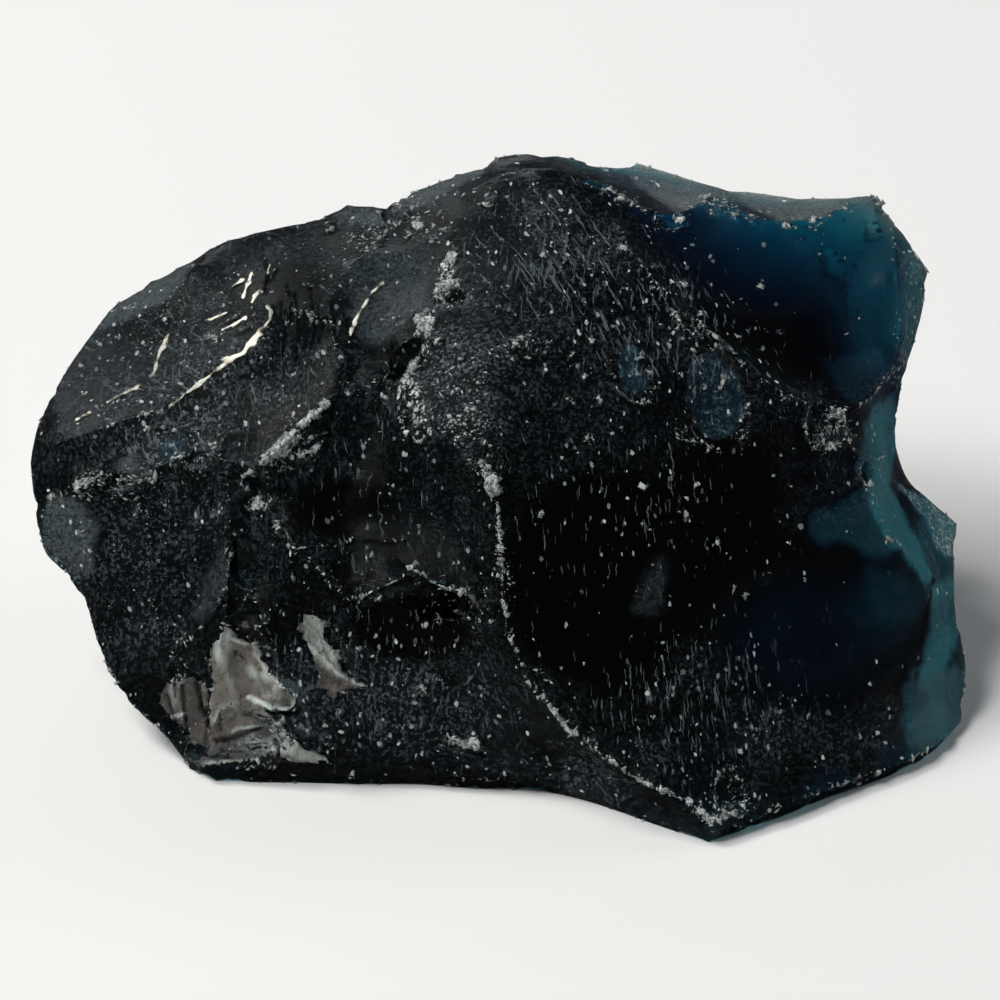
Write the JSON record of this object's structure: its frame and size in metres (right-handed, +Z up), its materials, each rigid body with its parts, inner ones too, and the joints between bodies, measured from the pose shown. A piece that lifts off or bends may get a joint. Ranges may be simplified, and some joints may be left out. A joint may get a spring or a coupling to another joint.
{
  "type": "slag glass chunk",
  "caption": "Broken chunk of dark blue slag glass with sharp shell-like fracture faces, crushed pale ridges and see-through teal edges.",
  "frame": {"origin": "middle of the footprint's bounding box, on the surface the chunk rests on", "axes": "+X along the chunk's long axis, to the right as seen from the front; +Z up; the tall broken front with its keel ridge faces -Y"},
  "size_m": [0.094, 0.0656, 0.0472],
  "materials": {
    "slag_glass": "glossy fracture faces under a fine grey abrasion haze, crushed white along the ridges, dark blue to teal where thin"
  },
  "bodies": {
    "root": {"glass_chunk": "slag_glass"}
  },
  "joints": []
}
